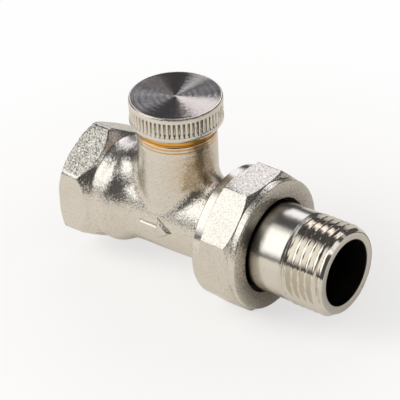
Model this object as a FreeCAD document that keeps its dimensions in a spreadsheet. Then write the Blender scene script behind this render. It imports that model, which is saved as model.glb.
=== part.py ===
# Manual radiator valve, straight pattern, half-inch size.
# Millimetres.  X runs along the pipe from the inlet socket to the tailpiece,
# Z runs up along the spindle.  The origin is the centre of the inlet's mouth.
import FreeCAD, Part
import Sketcher
import os

doc = FreeCAD.newDocument("radiator_valve")

# Driving dimensions

dimensions = {
    # pipe line, along X
    "neck_share": 0.536017,
    "hex_flats": 24.9,
    "hex_length": 5.4,
    "hex_slope": 2.7,
    "mouth_radius": 12.7,
    "mouth_slope": 1.1,
    "hex_rounding": 1.4,
    "socket_bore": 9.3,
    "socket_bore_depth": 12.5,
    "socket_lead_in": 0.45,
    "waist_radius": 11.87,
    "waist_place": 9.7,
    "shoulder_radius": 11.97,
    "shoulder_place": 11.5,
    "shoulder_fall": 6.2,
    "barrel_radius": 9.7,
    "barrel_end": 9.35,
    "body_length": 47.2,
    "union_thread_length": 6.8,
    "flare_radius": 12.1,
    "flare_length": 0.8,
    "flare_flat": 0.2,
    "union_thread": 12.9,
    "edge_break": 0.4,
    # neck and seat, along Z
    "neck_radius": 8.96,
    "neck_top": 21.3,
    "neck_blend_share": 0.915,
    "rim_chamfer": 0.2,
    "bonnet_bore": 7.0,
    "bonnet_thread_length": 7.9,
    "chamber_radius": 5.9,
    "chamber_floor": 0.7,
    "seat_height": 0.5,
    "seat_hole": 3.8,
    "seat_land": 0.8,
    "inlet_way": 3.9,
    "inlet_way_drop": 4.3,
    "inlet_way_past_neck": 4.0,
    "outlet_way": 3.8,
    "outlet_way_rise": 4.8,
    "outlet_bore": 6.6,
    "outlet_bore_start": 7.8,
    "spigot_bore_depth": 4.5,
    # bonnet
    "bonnet_collar": 8.9,
    "bonnet_collar_height": 1.7,
    "bonnet_head": 7.9,
    "bonnet_head_height": 4.0,
    "spindle_bore_drop": 0.8,
    "bonnet_bottom_gap": 0.1,
    "bonnet_ring_section": 0.5,
    # spindle
    "spindle_thread": 5.45,
    "spindle_thread_length": 3.2,
    "spindle_thread_rise": 0.4,
    "spindle_shank": 4.7,
    "spindle_sink": 2.8,
    "spindle_stem": 3.6,
    "key_flats": 5.0,
    "key_depth": 3.4,
    "button_radius": 2.6,
    "button_height": 1.6,
    "button_neck": 1.8,
    "seal_pitch": 1.75,
    "first_seal_rise": 0.8,
    "ring_groove": 1.25,
    "ring_section": 0.48,
    # disc
    "disc_radius": 5.0,
    "disc_rim": 1.5,
    "disc_height": 6.3,
    "disc_hub": 4.2,
    "disc_lip": 1.2,
    "seal_thickness": 2.0,
    "seal_gap": 0.05,
    "screw_radius": 1.5,
    "screw_head": 2.6,
    "screw_head_height": 1.3,
    "screw_length": 4.2,
    "screw_slot": 0.7,
    # cap
    "cap_radius": 10.5,
    "cap_bottom_gap": 0.13,
    "cap_crown": 1.65,
    "cap_dish": 0.35,
    "cap_top_round": 0.25,
    "cap_rim": 0.35,
    "cap_bottom_round": 0.5,
    "knurl_count": 60,
    "knurl_low": 1.5,
    "knurl_high": 5.1,
    "knurl_depth": 0.3,
    "knurl_width": 0.62,
    "gasket_thickness": 0.8,
    "gasket_inside": 5.0,
    "gasket_outside": 7.4,
    # union nut
    "nut_flats": 30.5,
    "nut_overlap": 7.2,
    "nut_collar_wall": 2.14,
    "nut_collar_length": 2.2,
    "nut_back_bevel": 0.75,
    "nut_corner_length": 6.2,
    "nut_corner_fall": 0.9,
    "nut_front_collar": 15.05,
    "nut_front_length": 1.7,
    "nut_edge": 0.3,
    "nut_hole": 10.81,
    # tailpiece
    "tail_bore": 7.6,
    "tail_neck": 10.22,
    "tail_thread": 10.43,
    "tail_thread_length": 10.4,
    "tail_length": 21.75,
    "tail_point": 0.6,
    "tail_head": 12.3,
    "tail_head_length": 2.0,
    "tail_spigot": 9.8,
    "tail_ring_groove": 1.8,
    "tail_ring_groove_depth": 1.25,
    "tail_ring_place": 2.1,
    "tail_ring_section": 0.6,
    # fits
    "thread_fit": 0.06,
    "ring_fit": 0.03,
    "ring_seat": 0.01,
    "face_gap": 0.05,
    "swivel_gap": 0.2,
    "tip_gap": 0.3,
}

sheet = doc.addObject("Spreadsheet::Sheet", "sizes")
for row, (alias, number) in enumerate(dimensions.items(), start=1):
    sheet.set("A%d" % row, alias)
    sheet.set("B%d" % row, str(number))
    sheet.setAlias("B%d" % row, alias)
doc.recompute()


class Size:
    """A length that knows its number and the formula that ties it to the sheet."""

    def __init__(self, number, formula):
        self.number = float(number)
        self.formula = formula

    @staticmethod
    def of(other):
        if isinstance(other, Size):
            return other
        return Size(other, repr(float(other)))

    def __add__(self, other):
        other = Size.of(other)
        return Size(self.number + other.number, "(%s + %s)" % (self.formula, other.formula))

    def __radd__(self, other):
        return Size.of(other) + self

    def __sub__(self, other):
        other = Size.of(other)
        return Size(self.number - other.number, "(%s - %s)" % (self.formula, other.formula))

    def __rsub__(self, other):
        return Size.of(other) - self

    def __mul__(self, other):
        other = Size.of(other)
        return Size(self.number * other.number, "(%s * %s)" % (self.formula, other.formula))

    def __rmul__(self, other):
        return Size.of(other) * self

    def __truediv__(self, other):
        other = Size.of(other)
        return Size(self.number / other.number, "(%s / %s)" % (self.formula, other.formula))

    def __neg__(self):
        return Size(-self.number, "(0 - %s)" % self.formula)


def cell(alias):
    return Size(sheet.get(alias), "sizes." + alias)


V = {alias: cell(alias) for alias in dimensions}
ZERO = Size(0.0, "0")

# Helpers: sketches whose points follow the sheet


def body(label):
    made = doc.addObject("PartDesign::Body", label)
    made.Label = label
    return made


def plane(owner, role):
    return [f for f in owner.Origin.OriginFeatures if f.Role == role][0]


def sketch(owner, name, role, offset=ZERO, along="z"):
    """An empty sketch on one of the body's own planes, moved off it by offset."""
    made = owner.newObject("Sketcher::SketchObject", name)
    made.AttachmentSupport = [(plane(owner, role), "")]
    made.MapMode = "FlatFace"
    if offset.number:
        made.setExpression("AttachmentOffset.Base." + along, offset.formula)
    return made


def tie(made, kind, geometry, point, size):
    """Hold one end of a line at a distance from the sketch's origin."""
    if size.number == 0.0:
        axis = -2 if kind == "DistanceX" else -1
        made.addConstraint(Sketcher.Constraint("PointOnObject", geometry, point, axis))
        return
    index = made.addConstraint(
        Sketcher.Constraint(kind, -1, 1, geometry, point, size.number)
    )
    made.setExpression("Constraints[%d]" % index, size.formula)


def outline(made, points):
    """Closed run of straight lines through points, each point tied to the sheet."""
    points = [(Size.of(u), Size.of(v)) for u, v in points]
    count = len(points)
    flat = [FreeCAD.Vector(u.number, v.number, 0) for u, v in points]
    for k in range(count):
        made.addGeometry(Part.LineSegment(flat[k], flat[(k + 1) % count]), False)
    for k in range(count):
        made.addConstraint(Sketcher.Constraint("Coincident", k, 2, (k + 1) % count, 1))
    for k, (u, v) in enumerate(points):
        tie(made, "DistanceX", k, 1, u)
        tie(made, "DistanceY", k, 1, v)


def circle(made, u, v, radius):
    """Circle with its centre at (u, v)."""
    u, v, radius = Size.of(u), Size.of(v), Size.of(radius)
    centre = FreeCAD.Vector(u.number, v.number, 0)
    k = made.addGeometry(
        Part.Circle(centre, FreeCAD.Vector(0, 0, 1), radius.number), False
    )
    tie(made, "DistanceX", k, 3, u)
    tie(made, "DistanceY", k, 3, v)
    index = made.addConstraint(Sketcher.Constraint("Radius", k, radius.number))
    made.setExpression("Constraints[%d]" % index, radius.formula)


def turn(owner, name, axis, points, cut=False, centre=ZERO):
    """Turned form: a profile of (along, radius) for axis X, (radius, height) for Z."""
    made = sketch(owner, name + "_profile", "XZ_Plane", centre, "x")
    outline(made, points)
    kind = "PartDesign::Groove" if cut else "PartDesign::Revolution"
    feature = owner.newObject(kind, name)
    feature.Profile = made
    feature.ReferenceAxis = (made, ["H_Axis" if axis == "X" else "V_Axis"])
    feature.Angle = 360
    owner.Tip = feature
    return feature


def extrude(owner, name, made, length, cut=False, reverse=False):
    """Pad or pocket of a sketch."""
    feature = owner.newObject("PartDesign::Pocket" if cut else "PartDesign::Pad", name)
    feature.Profile = made
    feature.setExpression("Length", Size.of(length).formula)
    feature.Reversed = reverse
    owner.Tip = feature
    return feature


def polygon_points(sides, flats, first_corner):
    """Corners of a regular polygon given its width across flats, angle in degrees."""
    # cosines and sines are written into the formulas, so that corners follow the width
    points = []
    for k in range(sides):
        angle = "(%r + %r)" % (float(first_corner), 360.0 * k / sides)
        reach = "(%s / 2 / cos(%r deg))" % (flats.formula, 180.0 / sides)
        degrees = first_corner + 360.0 * k / sides
        direction = FreeCAD.Rotation(FreeCAD.Vector(0, 0, 1), degrees).multVec(
            FreeCAD.Vector(1, 0, 0)
        )
        half = FreeCAD.Rotation(FreeCAD.Vector(0, 0, 1), 180.0 / sides).multVec(
            FreeCAD.Vector(1, 0, 0)
        )
        size = flats.number / 2 / half.x
        u = Size(size * direction.x, "(%s * cos(%s * 1 deg))" % (reach, angle))
        v = Size(size * direction.y, "(%s * sin(%s * 1 deg))" % (reach, angle))
        points.append((u, v))
    return points


def move_to_neck(owner):
    owner.setExpression("Placement.Base.x", neck_centre.formula)


def edges_where(feature, test):
    """Names of the feature's edges that pass a test on the edge."""
    return ["Edge%d" % (k + 1) for k, e in enumerate(feature.Shape.Edges) if test(e)]


def dress(owner, kind, name, base, names, size):
    """Fillet or chamfer of chosen edges."""
    feature = owner.newObject("PartDesign::" + kind, name)
    feature.Base = (base, names)
    feature.setExpression("Radius" if kind == "Fillet" else "Size", Size.of(size).formula)
    owner.Tip = feature
    return feature


# Valve body: the forged run from socket to barrel is turned from a smooth curve

neck_centre = V["body_length"] * V["neck_share"]
inside_flat = V["hex_flats"] / 2
core = V["hex_flats"] / 2 - 0.2
thread_start = V["body_length"] - V["union_thread_length"]
flare_start = thread_start - V["flare_flat"] - V["flare_length"]
fall = V["shoulder_fall"]
drop = V["shoulder_radius"] - V["barrel_radius"]
forged_curve = [
    (V["hex_length"], core),
    (V["hex_length"] / 2 + V["waist_place"] / 2, (core + V["waist_radius"]) / 2 - 0.05),
    (V["waist_place"], V["waist_radius"]),
    (V["shoulder_place"], V["shoulder_radius"]),
    (V["shoulder_place"] + fall * 0.18, V["shoulder_radius"] - drop * 0.08),
    (V["shoulder_place"] + fall * 0.37, V["shoulder_radius"] - drop * 0.33),
    (V["shoulder_place"] + fall * 0.56, V["shoulder_radius"] - drop * 0.63),
    (V["shoulder_place"] + fall * 0.76, V["shoulder_radius"] - drop * 0.85),
    (V["shoulder_place"] + fall, V["shoulder_radius"] - drop * 0.96),
    (V["shoulder_place"] + fall * 1.3, V["barrel_radius"] + 0.02),
    (neck_centre, V["barrel_radius"]),
    (neck_centre / 2 + flare_start / 2, V["barrel_radius"] / 2 + V["barrel_end"] / 2 + 0.03),
    (flare_start, V["barrel_end"]),
]


def in_profile(u, v):
    return FreeCAD.Vector(Size.of(u).number, 0, Size.of(v).number)


smooth = Part.BSplineCurve()
smooth.interpolate([in_profile(u, v) for u, v in forged_curve])
corners = [
    in_profile(flare_start, V["barrel_end"]),
    in_profile(flare_start + V["flare_length"], V["flare_radius"]),
    in_profile(thread_start, V["flare_radius"]),
    in_profile(thread_start, V["union_thread"]),
    in_profile(V["body_length"] - V["edge_break"], V["union_thread"]),
    in_profile(V["body_length"], V["union_thread"] - V["edge_break"]),
    in_profile(V["body_length"], 0),
    in_profile(0, 0),
    in_profile(0, core),
    in_profile(V["hex_length"], core),
]
edges = [smooth.toShape()]
edges += [Part.LineSegment(a, b).toShape() for a, b in zip(corners, corners[1:])]
profile = Part.Face(Part.Wire(edges))
forged = doc.addObject("Part::Feature", "forged_run")
forged.Shape = profile.revolve(FreeCAD.Vector(0, 0, 0), FreeCAD.Vector(1, 0, 0), 360)

valve = body("valve_body")
valve.BaseFeature = forged
doc.recompute()

# Hexagon round the socket, its corners rounded, its ends turned

hex_sketch = sketch(valve, "socket_hexagon", "YZ_Plane")
outline(hex_sketch, polygon_points(6, V["hex_flats"], 30))
hexagon = extrude(valve, "socket_hexagon_pad", hex_sketch, V["hex_length"] + V["hex_slope"])
doc.recompute()


def hexagon_corner(edge):
    if not isinstance(edge.Curve, Part.Line):
        return False
    a, b = edge.Vertexes[0].Point, edge.Vertexes[-1].Point
    reach = (a.y ** 2 + a.z ** 2) ** 0.5
    return abs(a.y - b.y) < 1e-4 and abs(a.z - b.z) < 1e-4 and reach > inside_flat.number + 0.5


rounded = dress(valve, "Fillet", "hexagon_rounding", hexagon,
                edges_where(hexagon, hexagon_corner), V["hex_rounding"])
doc.recompute()

past_corner = V["hex_flats"] * 0.7
corner = V["hex_flats"] * 0.577
turn(valve, "mouth_turning", "X", [
    (0, V["mouth_radius"]),
    (0, past_corner),
    (V["mouth_slope"], past_corner),
    (V["mouth_slope"], corner),
], cut=True)
turn(valve, "hexagon_runout", "X", [
    (V["hex_length"], corner),
    (V["hex_length"], past_corner),
    (V["hex_length"] + V["hex_slope"] + 0.5, past_corner),
    (V["hex_length"] + V["hex_slope"] + 0.5, inside_flat - 0.35),
    (V["hex_length"] + V["hex_slope"], inside_flat - 0.35),
], cut=True)

# Neck, blended into the barrel and the shoulder

neck_sketch = sketch(valve, "neck_circle", "XY_Plane")
circle(neck_sketch, neck_centre, 0, V["neck_radius"])
neck = extrude(valve, "neck", neck_sketch, V["neck_top"])
doc.recompute()


def foot_of_neck(edge):
    """True where the neck meets the run: every point lies on the neck's side."""
    if isinstance(edge.Curve, (Part.Line, Part.Circle)):
        return False
    for point in edge.discretize(7):
        reach = ((point.x - neck_centre.number) ** 2 + point.y ** 2) ** 0.5
        if abs(reach - V["neck_radius"].number) > 1e-3:
            return False
    return True


blend_room = flare_start - neck_centre - V["neck_radius"]
blend = dress(valve, "Fillet", "neck_blend", neck,
              edges_where(neck, foot_of_neck), blend_room * V["neck_blend_share"])
doc.recompute()


def neck_rim(edge):
    return isinstance(edge.Curve, Part.Circle) and edge.BoundBox.ZMin > V["neck_top"].number - 0.01


dress(valve, "Chamfer", "neck_rim", blend, edges_where(blend, neck_rim), V["rim_chamfer"])
doc.recompute()

# Machined inside: inlet thread, neck bore with seat, waterways, outlet bore

turn(valve, "inlet_thread_bore", "X", [
    (0, 0),
    (0, V["socket_bore"] + V["socket_lead_in"]),
    (V["socket_lead_in"], V["socket_bore"]),
    (V["socket_bore_depth"], V["socket_bore"]),
    (V["socket_bore_depth"], 0),
], cut=True)

seat_top = V["chamber_floor"] + V["seat_height"]
bore_floor = V["neck_top"] - V["bonnet_thread_length"]
ring_recess = V["bonnet_bore"] + V["bonnet_ring_section"] * 2
turn(valve, "neck_bore", "Z", [
    (0, -V["inlet_way_drop"]),
    (V["seat_hole"], -V["inlet_way_drop"]),
    (V["seat_hole"], seat_top),
    (V["seat_hole"] + V["seat_land"], seat_top),
    (V["seat_hole"] + V["seat_land"], V["chamber_floor"]),
    (V["chamber_radius"], V["chamber_floor"]),
    (V["chamber_radius"], bore_floor),
    (V["bonnet_bore"], bore_floor),
    (V["bonnet_bore"], V["neck_top"] - V["bonnet_ring_section"] * 2),
    (ring_recess, V["neck_top"] - V["bonnet_ring_section"] * 2),
    (ring_recess, V["neck_top"]),
    (0, V["neck_top"]),
], cut=True, centre=neck_centre)

inlet_sketch = sketch(valve, "inlet_way_circle", "YZ_Plane")
circle(inlet_sketch, 0, -V["inlet_way_drop"], V["inlet_way"])
extrude(valve, "inlet_way", inlet_sketch, neck_centre + V["inlet_way_past_neck"],
        cut=True, reverse=True)

outlet_sketch = sketch(valve, "outlet_way_circle", "YZ_Plane", neck_centre)
circle(outlet_sketch, 0, V["outlet_way_rise"], V["outlet_way"])
extrude(valve, "outlet_way", outlet_sketch, V["outlet_bore_start"] + 1.2, cut=True, reverse=True)

bore_start = neck_centre + V["outlet_bore_start"]
spigot_bore = V["tail_spigot"] + V["ring_fit"] + 0.02
turn(valve, "outlet_bore", "X", [
    (bore_start, 0),
    (bore_start, V["outlet_bore"] - 1.8),
    (bore_start + 1.8, V["outlet_bore"]),
    (V["body_length"] - V["spigot_bore_depth"], V["outlet_bore"]),
    (V["body_length"] - V["spigot_bore_depth"], spigot_bore),
    (V["body_length"], spigot_bore),
    (V["body_length"], 0),
], cut=True)

# Bonnet: screwed into the neck, its bare collar shows under the cap

collar_top = V["neck_top"] + V["bonnet_collar_height"]
bonnet_top = collar_top + V["bonnet_head_height"]
shank_bore = V["spindle_shank"] + V["face_gap"]
shank_bore_low = V["neck_top"] - V["spindle_bore_drop"]
thread_bore = V["spindle_thread"] + V["thread_fit"]
bonnet = body("bonnet")
turn(bonnet, "bonnet_turned", "Z", [
    (thread_bore, bore_floor + V["bonnet_bottom_gap"]),
    (V["bonnet_bore"] - V["thread_fit"], bore_floor + V["bonnet_bottom_gap"]),
    (V["bonnet_bore"] - V["thread_fit"], V["neck_top"]),
    (V["bonnet_collar"] - 0.15, V["neck_top"]),
    (V["bonnet_collar"], V["neck_top"] + 0.15),
    (V["bonnet_collar"], collar_top - 0.15),
    (V["bonnet_collar"] - 0.15, collar_top),
    (V["bonnet_head"], collar_top),
    (V["bonnet_head"], bonnet_top - V["edge_break"]),
    (V["bonnet_head"] - V["edge_break"], bonnet_top),
    (shank_bore, bonnet_top),
    (shank_bore, shank_bore_low),
    (thread_bore, shank_bore_low),
])
move_to_neck(bonnet)


def seal_ring(label, middle, section, centre, axis):
    """Rubber ring of round section: a torus about the spindle (Z) or the pipe (X)."""
    ring = doc.addObject("Part::Torus", label)
    ring.Label = label
    ring.setExpression("Radius1", Size.of(middle).formula)
    ring.setExpression("Radius2", Size.of(section).formula)
    if axis == "X":
        ring.Placement = FreeCAD.Placement(
            FreeCAD.Vector(0, 0, 0), FreeCAD.Rotation(FreeCAD.Vector(0, 1, 0), 90)
        )
        ring.setExpression("Placement.Base.x", Size.of(centre).formula)
    else:
        ring.setExpression("Placement.Base.x", neck_centre.formula)
        ring.setExpression("Placement.Base.z", Size.of(centre).formula)
    return ring


bonnet_ring = seal_ring(
    "bonnet_o_ring",
    V["bonnet_bore"] + V["bonnet_ring_section"],
    V["bonnet_ring_section"] - V["ring_seat"],
    V["neck_top"] - V["bonnet_ring_section"],
    "Z",
)

# Spindle: key socket on top, two ring grooves, thread, stem and swivel button

groove_floor = shank_bore - V["ring_fit"] - V["ring_section"] * 2
spindle_top = bonnet_top - V["spindle_sink"]
first_ring = shank_bore_low + V["first_seal_rise"]
second_ring = first_ring + V["seal_pitch"]
thread_low = bore_floor + V["bonnet_bottom_gap"] + V["spindle_thread_rise"]
thread_high = thread_low + V["spindle_thread_length"]
seal_low = seat_top + V["seal_gap"]
disc_low = seal_low + V["seal_thickness"]
disc_top = disc_low + V["disc_height"]
button_low = disc_top - V["disc_lip"] - V["swivel_gap"] - V["button_height"]
half_groove = V["ring_groove"] / 2
spindle = body("spindle")
turn(spindle, "spindle_turned", "Z", [
    (0, button_low),
    (V["button_radius"], button_low),
    (V["button_radius"], button_low + V["button_height"]),
    (V["button_neck"], button_low + V["button_height"]),
    (V["button_neck"], disc_top + V["tip_gap"]),
    (V["spindle_stem"], disc_top + V["tip_gap"]),
    (V["spindle_stem"], thread_low),
    (V["spindle_thread"], thread_low),
    (V["spindle_thread"], thread_high),
    (V["spindle_shank"], thread_high),
    (V["spindle_shank"], first_ring - half_groove),
    (groove_floor, first_ring - half_groove),
    (groove_floor, first_ring + half_groove),
    (V["spindle_shank"], first_ring + half_groove),
    (V["spindle_shank"], second_ring - half_groove),
    (groove_floor, second_ring - half_groove),
    (groove_floor, second_ring + half_groove),
    (V["spindle_shank"], second_ring + half_groove),
    (V["spindle_shank"], spindle_top),
    (0, spindle_top),
])
key_sketch = sketch(spindle, "key_hexagon", "XY_Plane", spindle_top)
outline(key_sketch, polygon_points(6, V["key_flats"], 0))
extrude(spindle, "key_socket", key_sketch, V["key_depth"], cut=True)
move_to_neck(spindle)

rings = [bonnet_ring]
for label, place in (("spindle_o_ring_lower", first_ring), ("spindle_o_ring_upper", second_ring)):
    rings.append(
        seal_ring(
            label,
            groove_floor + V["ring_section"] + V["ring_seat"],
            V["ring_section"],
            place,
            "Z",
        )
    )

# Disc: holder that swivels on the button, seal washer and screw

screw_hole = V["screw_radius"] + V["thread_fit"]
swivel_bore = V["button_radius"] + V["tip_gap"]
disc = body("valve_disc")
turn(disc, "disc_turned", "Z", [
    (screw_hole, disc_low),
    (V["disc_radius"], disc_low),
    (V["disc_radius"], disc_low + V["disc_rim"]),
    (V["disc_hub"], disc_low + V["disc_rim"]),
    (V["disc_hub"], disc_top),
    (V["button_neck"] + V["swivel_gap"], disc_top),
    (V["button_neck"] + V["swivel_gap"], disc_top - V["disc_lip"]),
    (swivel_bore, disc_top - V["disc_lip"]),
    (swivel_bore, button_low - V["swivel_gap"]),
    (screw_hole, button_low - V["swivel_gap"]),
])
move_to_neck(disc)

seal = body("disc_seal")
turn(seal, "seal_turned", "Z", [
    (screw_hole, seal_low),
    (V["disc_radius"], seal_low),
    (V["disc_radius"], disc_low),
    (screw_hole, disc_low),
])
move_to_neck(seal)

screw = body("disc_screw")
turn(screw, "screw_turned", "Z", [
    (0, seal_low - V["screw_head_height"]),
    (V["screw_head"] - 0.3, seal_low - V["screw_head_height"]),
    (V["screw_head"], seal_low - V["screw_head_height"] + 0.3),
    (V["screw_head"], seal_low),
    (V["screw_radius"], seal_low),
    (V["screw_radius"], seal_low + V["screw_length"]),
    (0, seal_low + V["screw_length"]),
])
slot_sketch = sketch(screw, "slot_outline", "XY_Plane", seal_low - V["screw_head_height"])
half_slot = V["screw_slot"] / 2
slot_reach = V["screw_head"] + 1
outline(slot_sketch, [
    (-slot_reach, -half_slot),
    (slot_reach, -half_slot),
    (slot_reach, half_slot),
    (-slot_reach, half_slot),
])
extrude(screw, "slot", slot_sketch, V["screw_head_height"] / 2, cut=True, reverse=True)
move_to_neck(screw)

# Protective cap with its gasket

cap_low = collar_top + V["cap_bottom_gap"]
cap_inside = V["bonnet_head"] + V["thread_fit"]
gasket_low = bonnet_top + V["face_gap"]
gasket_high = gasket_low + V["gasket_thickness"]
cap_ceiling = gasket_high + V["face_gap"]
cap_top = cap_ceiling + V["cap_crown"]
dish_radius = V["cap_radius"] - V["cap_top_round"] - V["cap_rim"]
cap = body("protective_cap")
turned_cap = turn(cap, "cap_turned", "Z", [
    (cap_inside, cap_low),
    (V["cap_radius"] - V["cap_bottom_round"], cap_low),
    (V["cap_radius"], cap_low + V["cap_bottom_round"] * 1.4),
    (V["cap_radius"], cap_top - V["cap_top_round"] * 2),
    (V["cap_radius"] - V["cap_top_round"], cap_top),
    (dish_radius, cap_top),
    (0, cap_top - V["cap_dish"]),
    (0, cap_ceiling),
    (cap_inside, cap_ceiling),
])
doc.recompute()
knurl_sketch = sketch(cap, "knurl_groove", "XY_Plane", cap_low + V["knurl_low"])
outline(knurl_sketch, [
    (V["cap_radius"] - V["knurl_depth"], 0),
    (V["cap_radius"] + 0.1, -V["knurl_width"] / 2),
    (V["cap_radius"] + 0.1, V["knurl_width"] / 2),
])
flute = extrude(cap, "knurl_flute", knurl_sketch, V["knurl_high"] - V["knurl_low"],
                cut=True, reverse=True)
doc.recompute()
knurl = cap.newObject("PartDesign::PolarPattern", "knurl")
knurl.Originals = [flute]
knurl.Axis = (knurl_sketch, ["N_Axis"])
knurl.Angle = 360
knurl.setExpression("Occurrences", V["knurl_count"].formula)
cap.Tip = knurl
move_to_neck(cap)

gasket = body("cap_gasket")
turn(gasket, "gasket_turned", "Z", [
    (V["gasket_inside"], gasket_low),
    (V["gasket_outside"], gasket_low),
    (V["gasket_outside"], gasket_high),
    (V["gasket_inside"], gasket_high),
])
move_to_neck(gasket)

# Union nut: turned blank with eight flats

half_nut = V["nut_flats"] / 2
nut_corner = V["nut_flats"] * 0.5412
nut_start = V["body_length"] - V["nut_overlap"]
collar_end = nut_start + V["nut_collar_length"]
corner_start = collar_end + V["nut_back_bevel"]
corner_end = corner_start + V["nut_corner_length"]
flats_end = corner_end + V["nut_corner_fall"]
nut_end = flats_end + V["nut_front_length"]
nut_bore = V["union_thread"] + V["thread_fit"]
nut_collar = nut_bore + V["nut_collar_wall"]
head_low = V["body_length"] + V["face_gap"]
head_high = head_low + V["tail_head_length"]
lip_face = head_high + V["face_gap"]
nut = body("union_nut")
turn(nut, "nut_turned", "X", [
    (nut_start, nut_bore + V["edge_break"]),
    (nut_start, nut_collar - V["nut_edge"]),
    (nut_start + V["nut_edge"], nut_collar),
    (collar_end, nut_collar),
    (corner_start, nut_corner + 0.05),
    (corner_end, nut_corner + 0.05),
    (flats_end, V["nut_front_collar"]),
    (nut_end - V["nut_edge"], V["nut_front_collar"]),
    (nut_end, V["nut_front_collar"] - V["nut_edge"] * 1.3),
    (nut_end, V["nut_hole"] + V["nut_edge"]),
    (nut_end - V["nut_edge"], V["nut_hole"]),
    (lip_face, V["nut_hole"]),
    (lip_face, nut_bore),
    (nut_start + V["edge_break"], nut_bore),
])
flats_sketch = sketch(nut, "nut_flats_outline", "YZ_Plane", collar_end)
outline(flats_sketch, polygon_points(8, V["nut_flats"], 22.5))
circle(flats_sketch, 0, 0, V["nut_flats"] * 0.6)
extrude(nut, "nut_flats", flats_sketch, flats_end - collar_end, cut=True, reverse=True)

# Tailpiece with its head inside the nut and a ring on its spigot

spigot_tip = V["body_length"] - V["spigot_bore_depth"] + V["tip_gap"]
ring_place = V["body_length"] - V["tail_ring_place"]
tail_half_groove = V["tail_ring_groove"] / 2
tail_groove_floor = V["tail_spigot"] - V["tail_ring_groove_depth"]
tail_end = head_high + V["tail_length"]
thread_from = tail_end - V["tail_thread_length"]
tail = body("tailpiece")
turn(tail, "tail_turned", "X", [
    (spigot_tip, V["tail_bore"]),
    (spigot_tip, V["tail_spigot"] - 0.3),
    (spigot_tip + 0.3, V["tail_spigot"]),
    (ring_place - tail_half_groove, V["tail_spigot"]),
    (ring_place - tail_half_groove, tail_groove_floor),
    (ring_place + tail_half_groove, tail_groove_floor),
    (ring_place + tail_half_groove, V["tail_spigot"]),
    (head_low, V["tail_spigot"]),
    (head_low, V["tail_head"]),
    (head_high, V["tail_head"]),
    (head_high, V["tail_neck"]),
    (thread_from, V["tail_neck"]),
    (thread_from + 0.3, V["tail_thread"]),
    (tail_end - V["tail_point"], V["tail_thread"]),
    (tail_end, V["tail_thread"] - V["tail_point"]),
    (tail_end, V["tail_bore"] + V["nut_edge"]),
    (tail_end - V["nut_edge"], V["tail_bore"]),
])
rings.append(
    seal_ring(
        "tailpiece_o_ring",
        tail_groove_floor + V["tail_ring_section"] + 0.02,
        V["tail_ring_section"],
        ring_place,
        "X",
    )
)

# Check and write every piece

doc.recompute()
for thing in doc.Objects:
    if "Invalid" in thing.State or "Error" in thing.State:
        raise RuntimeError("%s is %s" % (thing.Name, thing.State))

pieces = [valve, bonnet, spindle, disc, seal, screw, cap, gasket, nut, tail] + rings
os.makedirs("parts", exist_ok=True)
for piece in pieces:
    shape = piece.Shape
    if shape.isNull() or not shape.isValid() or not shape.Solids:
        raise RuntimeError("%s has no valid shape" % piece.Label)
    shape.exportStep("parts/%s.step" % piece.Label)
    box = shape.BoundBox
    print("%-22s %8.1f mm3  x %6.2f..%6.2f  z %6.2f..%6.2f" % (
        piece.Label, shape.Volume, box.XMin, box.XMax, box.ZMin, box.ZMax))
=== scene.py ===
# %% [markdown]
# A manual radiator valve, dressed for its picture.  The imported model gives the
# frame: where each part is, and which body it moves with.  The valve's sizes
# are in millimetres in that frame, X along the pipe and Z up the spindle, and
# are turned into Blender's metres where a mesh is made.  The floor and the
# lamps are in metres.

# %% Load the frame
import math

import bmesh
import bpy
import numpy as np
from mathutils import Matrix, Vector


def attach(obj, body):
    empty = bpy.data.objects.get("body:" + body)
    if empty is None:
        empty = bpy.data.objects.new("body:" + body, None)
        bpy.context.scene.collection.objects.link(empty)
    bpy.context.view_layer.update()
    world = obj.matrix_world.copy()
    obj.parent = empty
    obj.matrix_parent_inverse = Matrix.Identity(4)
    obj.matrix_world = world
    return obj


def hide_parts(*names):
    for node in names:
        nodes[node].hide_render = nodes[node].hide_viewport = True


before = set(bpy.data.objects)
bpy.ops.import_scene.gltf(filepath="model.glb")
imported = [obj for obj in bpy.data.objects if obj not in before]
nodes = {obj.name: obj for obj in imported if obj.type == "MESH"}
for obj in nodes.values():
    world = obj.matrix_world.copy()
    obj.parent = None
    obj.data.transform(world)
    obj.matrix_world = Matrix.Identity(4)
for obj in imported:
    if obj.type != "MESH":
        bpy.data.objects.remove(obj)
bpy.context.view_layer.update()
MM = 0.001
TURN = 2 * math.pi
SPINDLE_X = 25.3
print("nodes:", sorted(nodes))

# %% [markdown]
# The camera stands in front of the valve, a little to the right and above it,
# far back with a long lens, so that the pipe line hardly narrows with distance.
# It could be aimed with a constraint, but it is also rolled a little, so its
# three directions are written out.

# %% Camera
azimuth, elevation, roll = (math.radians(a) for a in (39.116, 32.951, -2.553))
distance = 630.0 * MM
looked_at = Vector((30.91, 0.0, 4.15)) * MM
back = Vector((
    math.sin(azimuth) * math.cos(elevation),
    -math.cos(azimuth) * math.cos(elevation),
    math.sin(elevation),
))
level = Vector((math.cos(azimuth), math.sin(azimuth), 0))
upward = back.cross(level)
right = math.cos(roll) * level + math.sin(roll) * upward
top = math.cos(roll) * upward - math.sin(roll) * level
camera_data = bpy.data.cameras.new("camera")
camera_data.sensor_width = 36.0
camera_data.lens = 253.72
camera_data.clip_start = 0.01
camera = bpy.data.objects.new("camera", camera_data)
bpy.context.scene.collection.objects.link(camera)
stand = Matrix((right, top, back)).transposed().to_4x4()
stand.translation = looked_at + distance * back
camera.matrix_world = stand
bpy.context.scene.camera = camera
print("camera at", [round(c, 3) for c in stand.translation])

# %% [markdown]
# Shader sums could be wired node by node, but they are easier to read as sums.
# A Socket stands for one output of a node, and + - * and ** on it add Math
# nodes.

# %% One value inside a material


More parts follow.
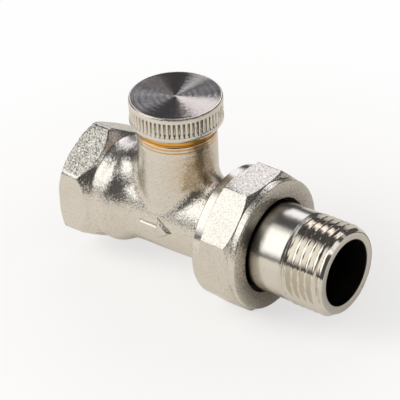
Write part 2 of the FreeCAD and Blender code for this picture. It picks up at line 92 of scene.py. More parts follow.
class Socket:
    """One value, colour or vector inside a material."""

    def __init__(self, finish, output):
        self.finish, self.output = finish, output

    def math(self, operation, *values):
        return self.finish.node("ShaderNodeMath", {"operation": operation}, values)

    def __add__(self, other):
        return self.math("ADD", self, other)

    def __radd__(self, other):
        return self.math("ADD", other, self)

    def __sub__(self, other):
        return self.math("SUBTRACT", self, other)

    def __rsub__(self, other):
        return self.math("SUBTRACT", other, self)

    def __mul__(self, other):
        return self.math("MULTIPLY", self, other)

    def __rmul__(self, other):
        return self.math("MULTIPLY", other, self)

    def __pow__(self, other):
        return self.math("POWER", self, other)


# %% [markdown]
# A Finish is one material.  Its node() makes any node from its type, its
# settings and its inputs, and the other methods are the few patterns that
# plated and turned metal needs.  All of them read the place on the object in
# millimetres, so a pattern stays where it is when a part moves.

# %% One finish


class Finish:
    """A material with a Principled shader and short names for its nodes."""

    def __init__(self, name):
        self.material = bpy.data.materials.new(name)
        self.material.use_nodes = True
        self.tree = self.material.node_tree
        self.shader = self.tree.nodes["Principled BSDF"]
        self.place = self.node("ShaderNodeTexCoord", out="Object")
        self.x, self.y, self.z = (
            self.node("ShaderNodeSeparateXYZ", {}, [self.place], out=axis) * 1000
            for axis in "XYZ"
        )

    def node(self, kind, settings=None, inputs=(), out=0):
        """Any node: settings first, then a value or a link for each input."""
        made = self.tree.nodes.new(kind)
        for key, value in (settings or {}).items():
            setattr(made, key, value)
        pairs = inputs.items() if isinstance(inputs, dict) else enumerate(inputs)
        for key, value in pairs:
            self.feed(made.inputs[key], value)
        return Socket(self, made.outputs[out])

    def feed(self, slot, value):
        """Links a Socket to an input, or sets the input's own value."""
        if isinstance(value, Socket):
            self.tree.links.new(value.output, slot)
        elif isinstance(value, tuple) and slot.type == "RGBA":
            slot.default_value = (*value, 1)
        else:
            slot.default_value = value

    def set(self, **inputs):
        """Feeds the shader: base_color=..., roughness=... and so on."""
        for key, value in inputs.items():
            self.feed(self.shader.inputs[key.replace("_", " ").title()], value)
        return self

    def mix(self, factor, first, second):
        """Colour first where factor is 0, second where it is 1."""
        inputs = {0: factor, 6: first, 7: second}
        return self.node("ShaderNodeMix", {"data_type": "RGBA"}, inputs, out=2)

    def vector(self, operation, *values):
        """Vector sums: ADD, SUBTRACT, NORMALIZE, or SCALE by a number."""
        slots = (0, 3) if operation == "SCALE" else (0, 1)
        inputs = dict(zip(slots, values))
        return self.node("ShaderNodeVectorMath", {"operation": operation}, inputs)

    def length(self, *parts):
        """Square root of the sum of squares."""
        total = parts[0] * parts[0]
        for part in parts[1:]:
            total = total + part * part
        return total ** 0.5

    def largest(self, *masks):
        """The largest of some masks, so that each counts where it is on."""
        most = masks[0]
        for mask in masks[1:]:
            most = most.math("MAXIMUM", most, mask)
        return most

    def step(self, value, low, high):
        """0 below low and 1 above high, smooth between."""
        settings = {"interpolation_type": "SMOOTHSTEP"}
        return self.node("ShaderNodeMapRange", settings, [value, low, high, 0.0, 1.0])

    def band(self, value, low, high, soft):
        """1 between low and high, 0 outside, with soft edges."""
        rise = self.step(value, low - soft, low + soft)
        return rise * (1 - self.step(value, high - soft, high + soft))

    def blob(self, centre, reach):
        """1 at a place in millimetres, falling to 0 at reach."""
        here = (self.x, self.y, self.z)
        away = self.length(*(axis - c for axis, c in zip(here, centre)))
        return 1 - self.step(away, reach * 0.15, reach)

    def noise(self, size, detail=2.0, rough=0.5):
        """Cloudy noise from 0 to 1 whose spots are about size millimetres across."""
        inputs = {
            "Vector": self.place,
            "Scale": 1000.0 / size,
            "Detail": detail,
            "Roughness": rough,
        }
        return self.node("ShaderNodeTexNoise", {}, inputs, out="Fac")

    def spots(self, size, low, high):
        """Scattered spots of about a size, the more the lower the limits."""
        return self.step(self.noise(size, 0.0), low, high)

    def lines(self, value, size):
        """Noise along one number only, such as turning marks along the pipe."""
        settings = {"noise_dimensions": "1D"}
        inputs = {"W": value, "Scale": 1.0 / size, "Detail": 2.0}
        return self.node("ShaderNodeTexNoise", settings, inputs, out="Fac")

    def relief(self, height, facing=None):
        """Normal of a surface with this height in millimetres, over another normal."""
        inputs = {"Strength": 1.0, "Distance": MM, "Height": height}
        if facing:
            inputs["Normal"] = facing
        return self.node("ShaderNodeBump", {}, inputs, out="Normal")

    def grains(self, size, lean):
        """Normal plus a random lean in each grain, made one long again."""
        inputs = {"Vector": self.place, "Scale": 1000.0 / size}
        grain = self.node("ShaderNodeTexVoronoi", {}, inputs, out="Color")
        centred = self.vector("SUBTRACT", grain, (0.5, 0.5, 0.5))
        lean = self.vector("SCALE", centred, lean)
        plain = self.node("ShaderNodeNewGeometry", out="Normal")
        return self.vector("NORMALIZE", self.vector("ADD", plain, lean))

    def wear(self, piece):
        """Puts this finish on an object."""
        piece.data.materials.clear()
        piece.data.materials.append(self.material)
        print("%s wears %s" % (piece.name, self.material.name))


# %% [markdown]
# Nearly every part of the valve was turned on a lathe, so nearly every mesh is
# a grid: one direction runs along a profile, the other round an axis.  A Screw
# or Spin would do for a plain ring, but a thread, a knurl or a flat changes the
# radius with the angle, and on a grid that is one sum.

# %% Meshes from grids
WELD = 0.0002 * MM


def settle(shell, mesh, sharp):
    """Merges doubles, turns the faces outwards and marks the sharp edges."""
    bmesh.ops.remove_doubles(shell, verts=shell.verts, dist=WELD)
    bmesh.ops.recalc_face_normals(shell, faces=shell.faces)
    shell.to_mesh(mesh)
    shell.free()
    mesh.polygons.foreach_set("use_smooth", np.ones(len(mesh.polygons), bool))
    mesh.set_sharp_from_angle(angle=math.radians(sharp))


def grid_mesh(name, points, closed_u=False, closed_v=False, sharp=35):
    """Mesh from a grid of points (rows, columns, 3); rows or columns may close up."""
    rows, columns = points.shape[:2]
    index = np.arange(rows * columns).reshape(rows, columns)
    if closed_u:
        index = np.vstack([index, index[:1]])
    if closed_v:
        index = np.hstack([index, index[:, :1]])
    quads = np.stack(
        [index[:-1, :-1], index[:-1, 1:], index[1:, 1:], index[1:, :-1]], axis=-1
    ).reshape(-1, 4)
    mesh = bpy.data.meshes.new(name)
    mesh.from_pydata(points.reshape(-1, 3).tolist(), [], quads.tolist())
    shell = bmesh.new()
    shell.from_mesh(mesh)
    settle(shell, mesh, sharp)
    return mesh


def place(mesh):
    """Object at the origin that shows a mesh."""
    piece = bpy.data.objects.new(mesh.name, mesh)
    bpy.context.scene.collection.objects.link(piece)
    print("%s: %d points, %d faces" % (mesh.name, len(mesh.vertices), len(mesh.polygons)))
    return piece


def surface(name, points, closed_u=False, closed_v=False, sharp=35):
    """Object made from a grid of points."""
    return place(grid_mesh(name, points, closed_u, closed_v, sharp))


# %% [markdown]
# The floor is plain pale paper.  Further from the valve it turns white for the
# camera and for reflections, by Light Path: that adds no light to the valve,
# and the floor keeps the valve's shadow.

# %% Floor
FLOOR_Z = -15.3 * MM
MIDDLE_X = 31
reach = np.linspace(-2.5, 2.5, 9)
floor_x, floor_y = np.meshgrid(reach, reach, indexing="ij")
floor = surface("floor", np.stack([floor_x, floor_y, np.full_like(floor_x, FLOOR_Z)], -1))
paper = Finish("floor_paper")
paper.set(base_color=(0.86, 0.815, 0.755), roughness=0.9)
camera_ray, glossy_ray, through_ray = (
    paper.node("ShaderNodeLightPath", out="Is %s Ray" % kind)
    for kind in ("Camera", "Glossy", "Transmission")
)
far = paper.step(paper.length(paper.x - MIDDLE_X, paper.y), 20, 110)
share = camera_ray * (0.66 + far * 0.31) + (glossy_ray + through_ray) * 0.10
white = paper.node(
    "ShaderNodeEmission", {}, {"Color": (1.0, 1.0, 1.0), "Strength": 1.0}
)
own_shader = Socket(paper, paper.shader.outputs[0])
both = paper.node("ShaderNodeMixShader", {}, [share, own_shader, white])
paper_out = next(n for n in paper.tree.nodes if n.type == "OUTPUT_MATERIAL")
paper.feed(paper_out.inputs["Surface"], both)
paper.wear(floor)

# %% [markdown]
# Plated metal shows what stands round it, so the lamps are placed as a
# photographer places soft boxes: a large one left of the camera, a cooler one
# behind the valve on the left, and smaller ones in front, overhead, beyond the
# valve and on the right, in a dim room.  The two large boxes are four lamps one
# in front of the other, so their light fades towards their edges.

# %% Room and lamps
world = bpy.data.worlds.new("room")
bpy.context.scene.world = world
world.use_nodes = True
room = world.node_tree.nodes["Background"]
room.inputs["Color"].default_value = (0.085, 0.085, 0.088, 1)
room.inputs["Strength"].default_value = 1.0


def soft_box(name, azimuth, elevation, distance, width, height, radiance, colour,
             reflected=True):
    """Rectangular lamp facing the valve; radiance is how bright its face looks."""
    a, e = math.radians(azimuth), math.radians(elevation)
    out = Vector((math.cos(a) * math.cos(e), math.sin(a) * math.cos(e), math.sin(e)))
    lamp = bpy.data.lights.new(name, "AREA")
    lamp.shape = "RECTANGLE"
    lamp.size, lamp.size_y = width, height
    lamp.energy = radiance * math.pi * width * height
    lamp.color = colour
    made = bpy.data.objects.new(name, lamp)
    made.location = Vector((0.03, 0, 0)) + distance * out
    made.rotation_euler = (-out).to_track_quat("-Z", "Y").to_euler()
    made.visible_glossy = reflected
    bpy.context.scene.collection.objects.link(made)


WHITE, PLAIN = (1.0, 1.0, 1.0), (0.98, 0.985, 1.0)
COOL, PINK = (0.90, 0.905, 1.0), (1.0, 0.94, 0.96)
for step, size in enumerate((1.0, 0.88, 0.76, 0.64)):
    soft_box(
        "soft_box_left_%d" % step, -134, 38.5, 1.0 - 0.01 * step,
        0.98 * size, 1.24 * size, 0.37, PLAIN,
    )
    soft_box(
        "soft_box_back_%d" % step, 131, 32, 0.9 - 0.01 * step,
        0.52 * size, 0.50 * size, 0.34, COOL,
    )
soft_box("soft_box_left_fill", -134, 36, 1.02, 0.6, 0.6, 6.1, WHITE, reflected=False)
soft_box("soft_box_front", -94, 40, 1.0, 0.26, 0.50, 1.0, PLAIN)
soft_box("soft_box_over", -38, 60, 1.0, 0.46, 0.30, 1.3, PLAIN)
soft_box("soft_box_far", 106, 46, 1.0, 0.36, 0.48, 1.5, PINK)
soft_box("soft_box_far_pink", 51, 38, 1.0, 0.36, 0.40, 0.5, PINK)
soft_box("soft_box_right", 10, 54, 1.0, 0.50, 0.44, 0.5, PLAIN)
soft_box("soft_box_right_heart", 10, 54, 0.98, 0.36, 0.30, 0.5, PLAIN)
soft_box("ceiling_panel", 0, 90, 1.3, 1.6, 1.6, 0.32, WHITE, reflected=False)
bpy.context.scene.view_settings.view_transform = "Standard"
print("lamps:", len(bpy.data.lights))

# %% [markdown]
# A thread could be a triangle carried along a helix and cut from a tube, which
# needs a boolean.  It is also just a radius that depends on the place along the
# pipe and on the angle round it: one turn further round is one pitch further
# along.  That keeps a threaded piece one clean grid.

# %% What every thread and turned piece needs
PITCH = 1.814
THREAD_DEPTH = 1.16


def thread_height(phase):
    """Thread form, 0 at the root and 1 at the narrow crest, for a phase in turns."""
    wave = 1 - 2 * np.abs(phase - np.floor(phase) - 0.5)
    return np.clip((wave - 0.26) / 0.68, 0, 1)


def turned(stations, columns):
    """Grids of the place and the radius of a profile at each of some angles."""
    angle = np.linspace(0, TURN, columns, endpoint=False)
    along = stations[:, :1] + 0 * angle
    radius = stations[:, 1:] + 0 * angle
    return along, radius, angle


def round_pipe(along, radius, angle):
    """Points at a place along the pipe, and at a radius and angle round it."""
    return np.stack(
        [along * MM, radius * np.cos(angle) * MM, radius * np.sin(angle) * MM], axis=-1
    )


print("thread: %.3f pitch, %.2f deep" % (PITCH, THREAD_DEPTH))

# %% [markdown]
# The pipe end is one turned piece: a head that the nut pulls against the body, a
# plain tube, and a half-inch pipe thread cut into a slightly thicker end.  The
# grid runs along its outside and back through its bore.  The thread deepens
# from nothing at its start, as where a die stops, and its end is chamfered.

# %% Tailpiece with its thread
TUBE_R = 10.22
CREST_R = 10.43
BORE_R = 7.6
THREAD_FROM, THREAD_TO = 60.6, 71.0
LEAD_IN = 1.6

head_and_tube = np.array([
    (43.0, BORE_R), (43.0, 9.5), (43.3, 9.8), (44.2, 9.8), (44.2, 8.55), (46.0, 8.55),
    (46.0, 9.8), (47.25, 9.8), (47.25, 12.3), (49.25, 12.3), (49.25, TUBE_R),
    (52.0, TUBE_R),
])
threaded = np.linspace(56.0, THREAD_TO, 181)[:, None]
threaded = np.hstack([threaded, np.full_like(threaded, CREST_R)])
bore = np.array([
    (71.0, 9.4), (71.0, 7.95), (70.9, 7.7), (70.6, BORE_R), (60.0, BORE_R),
    (50.0, BORE_R),
])
along, radius, angle = turned(np.vstack([head_and_tube, threaded, bore]), 192)
first, last = len(head_and_tube), len(head_and_tube) + len(threaded)
run = along[first:last]
crest = np.where(run < THREAD_FROM, TUBE_R, CREST_R)
deep = np.clip((run - THREAD_FROM + 0.6) / 1.4, 0, 1) * THREAD_DEPTH
cut = deep * (1 - thread_height((run - 60.0) / PITCH - angle / TURN))
point = CREST_R - np.clip(run - (THREAD_TO - LEAD_IN), 0, None) * 0.62
radius[first:last] = np.minimum(crest - cut, point)
tail = surface(
    "tailpiece_dressed", round_pipe(along, radius, angle),
    closed_u=True, closed_v=True, sharp=28,
)

# %% [markdown]
# The nut is turned first and then milled: eight flats cut a round blank.  It
# could be an eight-sided prism with its corners cut by a cone.  Both cuts are
# radii, though, and a soft minimum of the two also leaves the slightly rounded
# edges of a plated nut.

# %% Union nut
NUT_FLAT = 15.25
FLAT_FROM, FLAT_TO = 42.2, 50.06
NUT_BORE_R = 12.96
NUT_HOLE_R = 10.81
EIGHTH = TURN / 8

nut_outside = np.array([
    (40.00, 14.75), (40.08, 14.95), (40.3, 15.1), (42.15, 15.1), (42.25, 15.12),
    (42.95, 16.6), (43.4, 16.9), (48.7, 16.9), (49.15, 16.56), (49.6, 15.9),
    (50.05, 15.07), (50.25, 15.05), (51.4, 15.05), (51.65, 14.95), (51.75, 14.66),
])
nut_inside = np.array([
    (51.75, 11.1), (51.45, NUT_HOLE_R), (49.3, NUT_HOLE_R), (49.3, NUT_BORE_R),
    (40.4, NUT_BORE_R), (40.0, 13.36),
])


def soft_min(first, second, size):
    """The smaller of two radii, rounded over size where they are close."""
    near = np.clip(0.5 + (second - first) / (2 * size), 0, 1)
    return second * (1 - near) + first * near - size * near * (1 - near)


def finer(profile, step):
    """More stations along a profile, no further apart than step."""
    parts = []
    for (x0, r0), (x1, r1) in zip(profile[:-1], profile[1:]):
        count = max(1, int(np.ceil(math.hypot(x1 - x0, r1 - r0) / step)))
        share = np.arange(count)[:, None] / count
        parts.append(np.array([[x0, r0]]) * (1 - share) + np.array([[x1, r1]]) * share)
    return np.vstack(parts + [profile[-1:]])


nut_outside = finer(nut_outside, 0.22)
along, radius, angle = turned(np.vstack([nut_outside, nut_inside]), 512)
from_flat = np.mod(angle + EIGHTH / 2, EIGHTH) - EIGHTH / 2
corner_r = NUT_FLAT / math.cos(EIGHTH / 2) + 0.02
flat_r = soft_min(NUT_FLAT / np.cos(from_flat), corner_r, 0.25)
outer_rows = np.arange(len(along))[:, None] < len(nut_outside)
milled_rows = outer_rows & (along > FLAT_FROM) & (along < FLAT_TO)
radius = np.where(milled_rows, soft_min(radius, flat_r, 0.12), radius)
nut = surface(
    "union_nut_dressed", round_pipe(along, radius, angle),
    closed_u=True, closed_v=True, sharp=24,
)

# %% [markdown]
# The cap is a turned cup with straight knurling.  The grooves could be cut with
# an array of cutters, but a height times an angle is again enough: sixty
# grooves between two plain bands, square at the top and running out below.

# %% Protective cap
KNURLS = 60
KNURL_FROM, KNURL_TO = 24.62, 28.29
KNURL_R = 10.44
RUN_OUT = 0.8

cap_outside = finer(np.array([
    (23.13, 7.96), (23.13, 9.9), (23.2, 10.1), (23.83, 10.5), (24.2, 10.53),
    (24.6, 10.5), (KNURL_FROM, KNURL_R), (28.28, KNURL_R), (28.3, 10.55), (29.05, 10.5),
    (29.4, 10.4), (29.52, 10.29), (29.55, 10.2), (29.55, 10.08), (29.5, 10.0),
    (29.2, 9.97),
]), 0.14)
recess = np.array([(29.2, 0.02), (29.2, 0.0), (27.9, 0.0), (27.9, 0.02), (27.9, 7.96)])
height, radius, angle = turned(np.vstack([cap_outside, recess]), 720)
flute = np.abs(np.mod(angle * KNURLS / TURN, 1) - 0.5) * 2
groove = np.clip((flute - 0.40) / 0.40, 0, 1)
ends = np.clip((height - KNURL_FROM) / RUN_OUT, 0, 1)
ends = ends * np.clip((KNURL_TO - height) / 0.02, 0, 1)
side = radius > 10.35
radius = radius - (0.40 * groove ** 1.3 + 0.03 * flute ** 2) * ends * side


def round_spindle(height, radius, angle):
    """Points at a height up the spindle, and at a radius and angle round it."""
    x, y = SPINDLE_X + radius * np.cos(angle), radius * np.sin(angle)
    return np.stack([x * MM, y * MM, height * MM], axis=-1)


cap = surface(
    "protective_cap_dressed", round_spindle(height, radius, angle),
    closed_u=True, closed_v=True, sharp=30,
)

# %% [markdown]
# The cap's face was turned with a pointed tool, which leaves rings with a V
# section.  An anisotropic shader would give its bright fans too, but only in
# one strength.  Here the rings are cut for real, with a long outer slope and a
# short inner one: the outer slopes make the bright fan, the inner ones the dull
# one across from it.

# %% The cap's turned face
FACE_R = 9.94
RING_PITCH = 0.16
OUTER_SLOPE = 0.112
RING_DEPTH = 0.0155

rings = np.arange(61)
edge = FACE_R - RING_PITCH * rings
uneven = 1 + 0.08 * np.sin(rings * 2.3) + 0.06 * np.sin(rings * 0.71)
ring = np.stack([edge, edge - OUTER_SLOPE], axis=1).ravel()
depth = np.stack([-RING_DEPTH * uneven, RING_DEPTH * uneven], axis=1).ravel()
ring_height = 29.38 + 0.10 * (ring / FACE_R) ** 2 + depth
face_profile = np.stack([
    np.concatenate([[29.1, 29.1], ring_height, ring_height[-1:]]),
    np.concatenate([[0.0, FACE_R], ring, [0.0]]),
], axis=1)
lid = surface(
    "protective_cap_face", round_spindle(*turned(face_profile, 240)),
    closed_u=True, closed_v=True, sharp=12,
)

# %% [markdown]
# The forged body keeps its solid's form, with its blended neck, which no grid
# gives as well.  So a copy of the solid is merged, and only its hexagon is
# worked on: where a tool turned its corners off, the edges are cut finer and
# relaxed, as forging and blasting round them.

# %% Forged body
body = bmesh.new()
body.from_mesh(nodes["valve_body"].data)
SEAM = 0.002 * MM
bmesh.ops.remove_doubles(body, verts=body.verts, dist=SEAM)
OUTSIDE_R = 11.4
HEXAGON_TO = 10.3


def radius_of(vertex):
    """Distance of a corner from the pipe's axis."""
    return math.hypot(vertex.co.y, vertex.co.z) / MM


def outside_between(vertex, low, high):
    """True for a corner on the outside, between two places along the pipe."""
    return low * MM < vertex.co.x < high * MM and radius_of(vertex) > OUTSIDE_R


def shell_part(low, high):
    """Faces on the outside between two places, with their edges and corners."""
    faces = [
        face for face in body.faces
        if all(outside_between(v, low, high) for v in face.verts)
    ]
    edges = {edge for face in faces for edge in face.edges}
    dark_step_and_shadow = {corner for face in faces for corner in face.verts}
    return faces + list(edges) + list(dark_step_and_shadow)


def cut_finer(part, planes):
    """Cuts a part of the body along some planes, each a point and a normal."""
    for point, normal in planes:
        part = bmesh.ops.bisect_plane(
            body, geom=part, dist=SEAM, plane_co=point, plane_no=normal
        )["geom"]


cut_finer(shell_part(-1.0, HEXAGON_TO), [
    ((x * MM, 0, 0), (1, 0, 0)) for x in np.arange(4.8, 9.6, 0.3)
])
cut_finer(shell_part(4.75, HEXAGON_TO), [
    ((0, 0, 0), (0, math.cos(a), math.sin(a)))
    for a in np.radians(np.arange(0.7, 180, 3.0))
])
relaxed = [v for v in body.verts if outside_between(v, 5.0, 9.4)]
foot = [v for v in relaxed if v.co.x > 7.0 * MM]
for group in [relaxed] * 3 + [foot] * 7:
    bmesh.ops.smooth_vert(
        body, verts=group, factor=0.5, use_axis_x=True, use_axis_y=True, use_axis_z=True
    )
print("hexagon end relaxed:", len(relaxed), "points")

# %% [markdown]
# The socket's plain wall gives way to a pipe thread, which is a grid of radii
# again.  The wall's faces are taken out, and the thread's two open ends are
# joined to the rims that are left, so the body stays one closed shell.

# %% Thread in the socket
SOCKET_R = 9.3
wall = [
    face for face in body.faces
    if all(abs(radius_of(v) - SOCKET_R) < 0.02 and v.co.x < 12.6 * MM for v in face.verts)
]
bmesh.ops.delete(body, geom=wall, context="FACES_ONLY")
loose = [edge for edge in body.edges if not edge.link_faces]
bmesh.ops.delete(body, geom=loose, context="EDGES")
rims = [edge for edge in body.edges if edge.is_boundary]
along = np.linspace(0.5, 12.45, 100)[:, None]
angle = np.linspace(0, TURN, 168, endpoint=False)
deep = np.clip((along - 0.5) / 0.5, 0, 1) * np.clip((12.2 - along) / 1.6, 0, 1)
height = thread_height(along / PITCH + angle / TURN)
radius = SOCKET_R + THREAD_DEPTH * deep * (1 - height)
socket_points = round_pipe(along + 0 * radius, radius, angle)
body.from_mesh(grid_mesh("socket_thread", socket_points, closed_v=True))
threads = [edge for edge in body.edges if edge.is_boundary and edge not in set(rims)]
for low, high in ((0.0, 3.0), (9.0, 13.0)):
    joined = [
        edge for edge in rims + threads if low * MM < edge.verts[0].co.x < high * MM
    ]
    bmesh.ops.bridge_loops(body, edges=joined)
print("open edges left:", sum(edge.is_boundary for edge in body.edges))
body_mesh = bpy.data.meshes.new("valve_body_dressed")
settle(body, body_mesh, 24)
forging = place(body_mesh)
weights = forging.modifiers.new("face_weights", "WEIGHTED_NORMAL")
weights.keep_sharp = True

# %% [markdown]
# A raised arrow on the front of the body shows which way the water flows.  It
# could be an outline with a thickness, but it has to follow the round barrel
# and rise from it softly, as a cast sign does.  So it is a height over the
# barrel: how far each point lies inside the outline, through a soft slope, with
# a closed underside inside the wall.

# %% Flow arrow
BARREL_R = 9.68
ARROW_X = 25.6
ARROW_RISE = 0.85
HALF_LENGTH, HALF_SHAFT, HEAD_FROM, HEAD_SLOPE = 4.4, 0.85, 0.4, 0.68
TO_DISTANCE = 0.83
BURIED = 0.22

along, across = np.meshgrid(
    np.linspace(-5, 5, 110), np.linspace(-3.4, 3.4, 76), indexing="ij"
)
off_axis = np.abs(across)
shaft = np.minimum(
    HALF_SHAFT - off_axis, np.minimum(along + HALF_LENGTH, HEAD_FROM + 1.0 - along)
)
head = np.minimum(
    along - HEAD_FROM, ((HALF_LENGTH - along) * HEAD_SLOPE - off_axis) * TO_DISTANCE
)
inside = np.clip((np.maximum(shaft, head) + 0.35) / 0.9, 0, 1)
upper = BARREL_R - BURIED + ARROW_RISE * inside ** 2 * (3 - 2 * inside)
lower = np.full_like(upper, BARREL_R - 0.5)
lower[:, 0] = lower[:, -1] = BARREL_R - BURIED
x = np.vstack([along, along[::-1]]) + ARROW_X
r = np.vstack([upper, lower[::-1]])
turn = np.vstack([across, across[::-1]]) / BARREL_R + math.radians(0.5)
arrow_points = np.stack([x * MM, -r * np.cos(turn) * MM, r * np.sin(turn) * MM], axis=-1)
arrow = surface("flow_arrow", arrow_points, closed_u=True, sharp=50)

# %% [markdown]
# Nickel plating is a warm grey metal with cloudy stains, small brown pits and
# dark specks.  A photograph of metal wrapped round the parts would show these
# too, but it would carry its own light with it.  Noise in millimetres doesn't,
# and one function makes all the plated finishes, each as strong as it needs.

# %% Plated metal
NICKEL = (0.755, 0.715, 0.635)
SHADE = (0.40, 0.35, 0.28)
BRASS = (0.74, 0.37, 0.055)
BROWN = (0.22, 0.09, 0.02)
# The near black below is painted shade for the tailpiece's bore.
BORE_SHADE = (0.02, 0.018, 0.015)


def plated(name, colour=NICKEL, speckle=0.0):
    """Metal finish with cloudy stains, small brown pits and dark specks."""
    made = Finish(name)
    clouds = made.step(made.noise(7.0, 3.0, 0.6), 0.40, 0.75)
    tint = made.mix(clouds, colour, tuple(c * 0.94 for c in colour))
    specks = made.spots(0.32, 0.50, 0.72) * speckle
    tint = made.mix(specks, tint, SHADE)
    pits = made.spots(0.9, 0.82, 0.86)
    made.tint = made.mix(pits * 0.5, tint, BROWN)
    made.set(metallic=1.0, base_color=made.tint)
    return made


# %% [markdown]
# On the forged body the plating lies over a blasted surface, so it glints in
# small grains, and it is smooth where a tool has turned it.  A fine bump map
# would only blur the reflections: here the normal leans another way in each
# grain, so that one grain shows a lamp and the next one the dark room.  Three
# fine lines of bare brass run round the top of the neck, and a brown patch is
# painted where the neck meets the flare: a painted reflection of the nut and
# its shadow.  The raised arrow is a little smoother, with painted shade along its foot.

# %% Forged and blasted finish
blasted = plated("blasted_nickel", speckle=0.32)
from_spindle = blasted.length(blasted.x - SPINDLE_X, blasted.y)
from_pipe = blasted.length(blasted.y, blasted.z)
on_neck = blasted.step(blasted.z, 18.9, 19.2)
past_flare = blasted.step(blasted.x, 39.2, 39.5)
in_socket = 1 - blasted.step(from_pipe, 11.0, 11.3)
in_socket = in_socket * (1 - blasted.step(blasted.x, 12.6, 12.9))
turned_part = blasted.largest(on_neck, past_flare, in_socket)
ring_lines = sum(
    blasted.band(blasted.z, height - half, height + half, 0.03)
    for height, half in ((21.26, 0.09), (20.66, 0.14), (19.86, 0.14))
)
ring_lines = ring_lines * blasted.step(from_spindle, 8.6, 8.8)
# Painted reflection: a warm brown patch on the neck stands in for the nut mirrored there.
painted_nut_reflection = blasted.blob((33.2, -4.0, 14.0), 9.0)
painted_nut_reflection = painted_nut_reflection * blasted.step(blasted.noise(0.7), 0.20, 0.75) * 0.7
neck_with_reflection = blasted.mix(painted_nut_reflection, blasted.tint, (0.66, 0.44, 0.19))
lumps = blasted.noise(1.1, 1.0) * 0.03 * (1 - turned_part) + ring_lines * -0.03
on_flats = 1 - blasted.step(blasted.x, 6.0, 7.5)
grain_lean = (1 - turned_part) * (0.22 + on_flats * 0.04)
blasted.set(
    base_color=blasted.mix(ring_lines, neck_with_reflection, BRASS),
    roughness=0.23 - turned_part * 0.05,
    normal=blasted.relief(lumps, blasted.grains(0.17, grain_lean)),
)
blasted.wear(forging)

raised = plated("raised_nickel", speckle=0.10)
# Painted shade: the arrow is painted dark brown along its foot.
foot = 1 - raised.step(raised.length(raised.y, raised.z), 9.76, 10.18)
raised.set(
    base_color=raised.mix(foot * 0.75, raised.tint, (0.20, 0.15, 0.09)),
    roughness=0.2, normal=raised.grains(0.25, 0.2),
)
raised.wear(arrow)

# %% [markdown]
# The nut's flats and its front face were left rough by the cutter, and its
# collars were turned smooth.  The front face is painted darker towards the hole,
# painted shade for the shaded floor that it reflects, broken by speckles, and
# the hole is painted near black as painted shade.  Each of these could be a
# material of its own on its own faces, but a mask by place gives softer borders.

# %% Milled finish of the nut
milled = plated("milled_nickel", speckle=0.28)
from_pipe = milled.length(milled.y, milled.z)
flats = milled.band(milled.x, 42.3, 50.0, 0.1)
front = milled.step(milled.x, 50.2, 50.4)
rough_part = flats + front * 0.9
turning = milled.lines(milled.x, 0.2) * 0.008
# Painted shade: the front face is painted darker towards the hole, for the shaded floor
# that it reflects; the speckle breaks it up.
face_shade = front * (0.75 - milled.step(from_pipe, 10.5, 15.2) * 0.5)
face_shade = face_shade * (0.6 + milled.spots(0.35, 0.35, 0.65) * 0.7)
face_shade = face_shade * milled.step(milled.x, 51.5, 51.7)
face_with_shade = milled.mix(face_shade, milled.tint, (0.20, 0.17, 0.145))
# Painted shade: the nut's hole is painted near black.
hole_shade = 0.9 - milled.step(from_pipe, 10.85, 11.2) * 0.9
milled.set(
    base_color=milled.mix(hole_shade, face_with_shade, (0.06, 0.045, 0.035)),
    roughness=0.17 + rough_part * 0.07,
    normal=milled.relief(turning, milled.grains(0.16, rough_part * 0.3)),
)
milled.wear(nut)

# %% [markdown]
# The tailpiece is turned bright, with faint tool marks along the tube.  It is
# brightest on its thread; its bore is painted near black and the tube is painted
# dark where it leaves the nut, both painted shade.  The tool marks are noise
# along the pipe only, so they run round it as rings.

# %% Polished finish of the tailpiece
polished = plated("polished_nickel")
from_pipe = polished.length(polished.y, polished.z)
in_bore = 1 - polished.step(from_pipe, 7.62, 7.9)
shade_by_nut = 1 - polished.step(polished.x, 51.2, 53.8)
on_thread = polished.step(polished.x, 60.5, 61.0)
# Painted shade: near black in the bore, and dark brown where the tube leaves the nut.
shaded_tube = polished.mix(in_bore, polished.tint, BORE_SHADE)
shaded_tube = polished.mix(shade_by_nut * 0.9, shaded_tube, (0.07, 0.055, 0.04))
marks = polished.lines(polished.x, 0.25) * 0.005 + polished.noise(0.9, 2.0) * 0.018
polished.set(
    base_color=shaded_tube, roughness=0.2 - on_thread * 0.09 + in_bore * 0.45,
    normal=polished.relief(marks * (1 - on_thread * 0.8)),
)
polished.wear(tail)
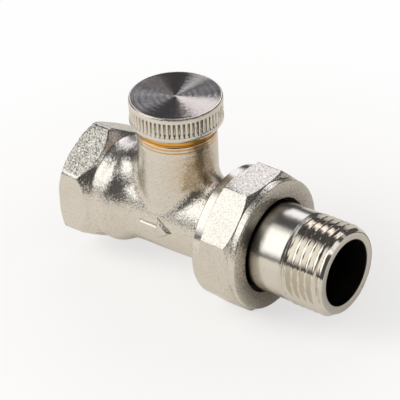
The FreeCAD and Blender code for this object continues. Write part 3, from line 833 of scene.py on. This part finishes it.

# %% [markdown]
# The cap's side is plated, and its grooves are painted darker as painted shade,
# most of all at their upper ends under the band.  The distance from the
# spindle's axis tells the shader where a groove is, so the shade needs no map.
# The face is a greyer, bare metal: its rings are real, and the finish adds only
# a little grain.

# %% Finishes of the cap
cap_nickel = plated("turned_nickel", speckle=0.10)
from_spindle = cap_nickel.length(cap_nickel.x - SPINDLE_X, cap_nickel.y)
in_grooves = cap_nickel.band(cap_nickel.z, 24.9, 28.31, 0.12)
in_grooves = in_grooves * (1 - cap_nickel.step(from_spindle, 10.06, 10.42))
# Painted shade: the grooves are painted darker, most of all at their upper ends, under the
# band.
groove_shade = in_grooves * (0.2 + cap_nickel.step(cap_nickel.z, 25.4, 28.1) * 0.65)
cap_nickel.set(
    base_color=cap_nickel.mix(groove_shade, cap_nickel.tint, (0.13, 0.105, 0.075)),
    roughness=0.18, normal=cap_nickel.grains(0.3, 0.10),
)
cap_nickel.wear(cap)

bright_face = plated("bare_turned_face", (0.475, 0.455, 0.44), speckle=0.2)
bright_face.set(roughness=0.17, normal=bright_face.grains(0.2, 0.07))
bright_face.wear(lid)

# %% [markdown]
# The bonnet between neck and cap is bare brass, turned in steps, with a dark
# brown painted at one step and, as painted shadow, under the cap's edge.  The
# other inner pieces are brass, black rubber and red fibre: they show only when
# the cap or the nut has moved.

# %% Brass, rubber and fibre
brass = plated("turned_brass", BRASS)
# A dark brown is painted at one step and, as painted shadow, under the cap's edge; the
# same bands are cut in a little.
dark_step_and_shadow = brass.band(brass.z, 21.66, 21.80, 0.04) + brass.band(brass.z, 22.55, 23.1, 0.12)
brass.set(
    base_color=brass.mix(dark_step_and_shadow * 0.8, brass.tint, BROWN), roughness=0.22,
    normal=brass.relief(brass.lines(brass.z, 0.3) * 0.02 - dark_step_and_shadow * 0.05),
)
rubber = Finish("black_rubber").set(base_color=(0.02, 0.02, 0.02), roughness=0.55)
fibre = Finish("red_fibre").set(base_color=(0.25, 0.05, 0.03), roughness=0.8)
for finish, names in (
    (brass, ("bonnet", "spindle", "valve_disc", "disc_screw")),
    (rubber, ("disc_seal", "bonnet_o_ring", "spindle_o_ring_lower",
              "spindle_o_ring_upper", "tailpiece_o_ring")),
    (fibre, ("cap_gasket",)),
):
    for name in names:
        finish.wear(nodes[name])

# %% [markdown]
# Each dressed piece rides on the body of the part that it shows, and takes the
# place of that part's plain solid.  The arrow only rides on the valve's body.

# %% Ride and replace
for piece, body_name, node_name in (
    (tail, "tail", "tailpiece"), (nut, "nut", "union_nut"), (cap, "cap", "protective_cap"),
    (lid, "cap", "protective_cap"), (forging, "valve", "valve_body"),
):
    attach(piece, body_name)
    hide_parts(node_name)
    print("%s rides on %s" % (piece.name, body_name))
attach(arrow, "valve")
